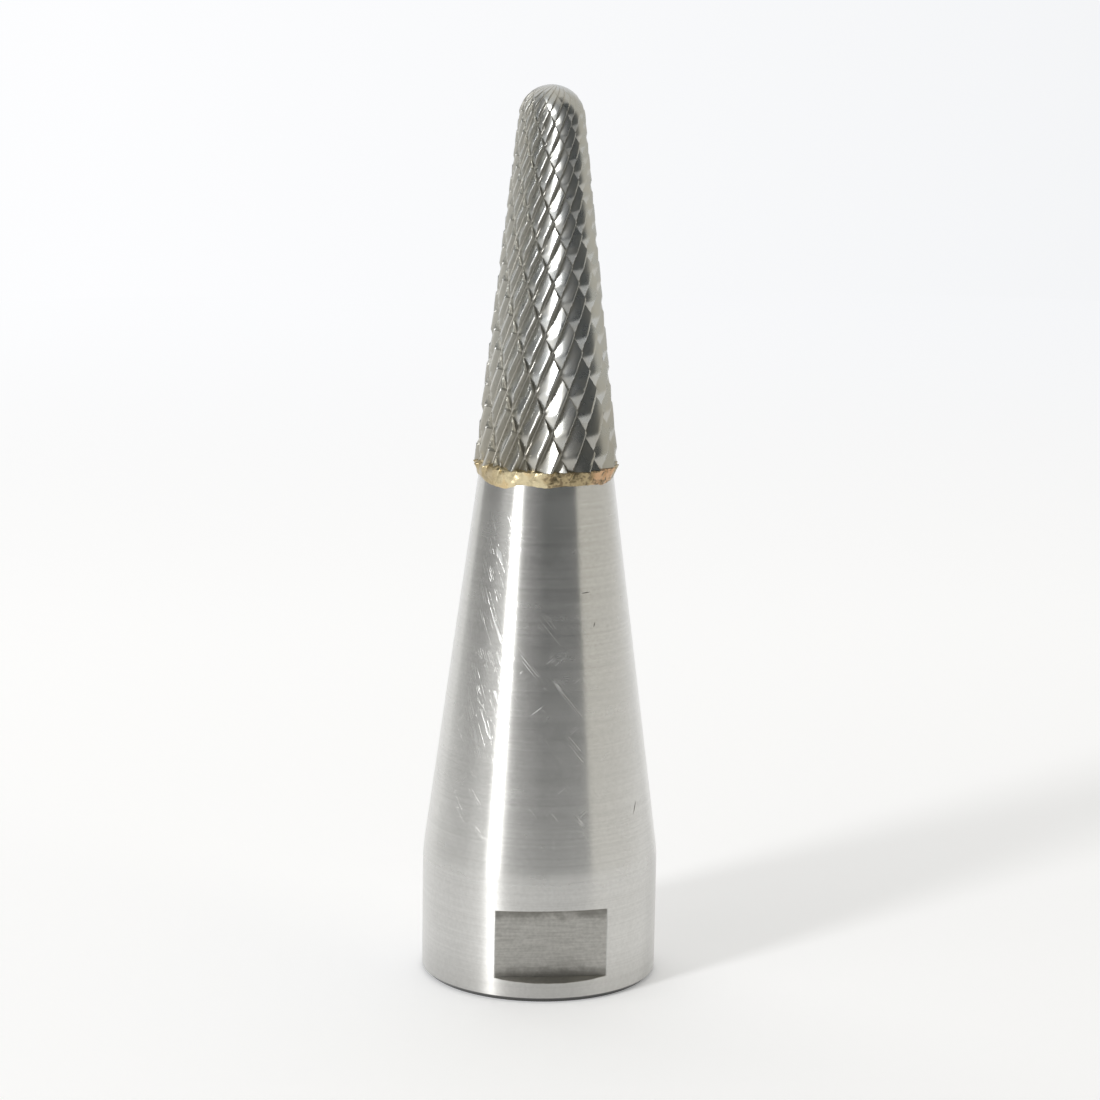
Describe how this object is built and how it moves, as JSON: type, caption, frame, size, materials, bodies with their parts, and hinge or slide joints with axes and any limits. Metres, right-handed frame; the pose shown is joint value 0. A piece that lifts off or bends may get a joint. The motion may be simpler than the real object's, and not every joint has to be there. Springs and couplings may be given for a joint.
{
  "type": "conical rotary burr",
  "caption": "Double-cut carbide taper burr with a ball nose, brazed to a conical steel shank with wrench flats and an internal spindle thread.",
  "frame": {"origin": "centre of the shank's base face, which it stands on", "axes": "+Z along the axis from the base to the ball nose, -Y out of the front wrench flat"},
  "size_m": [0.02, 0.02, 0.0753],
  "materials": {
    "carbide": "ground carbide, dark grey with bright cutting edges",
    "braze": "lumpy gold braze with dark pits",
    "steel": "fine turned and polished, with milled wrench flats"
  },
  "bodies": {
    "root": {"carbide_head": "carbide", "braze_joint": "braze", "steel_shank": "steel"}
  },
  "joints": []
}
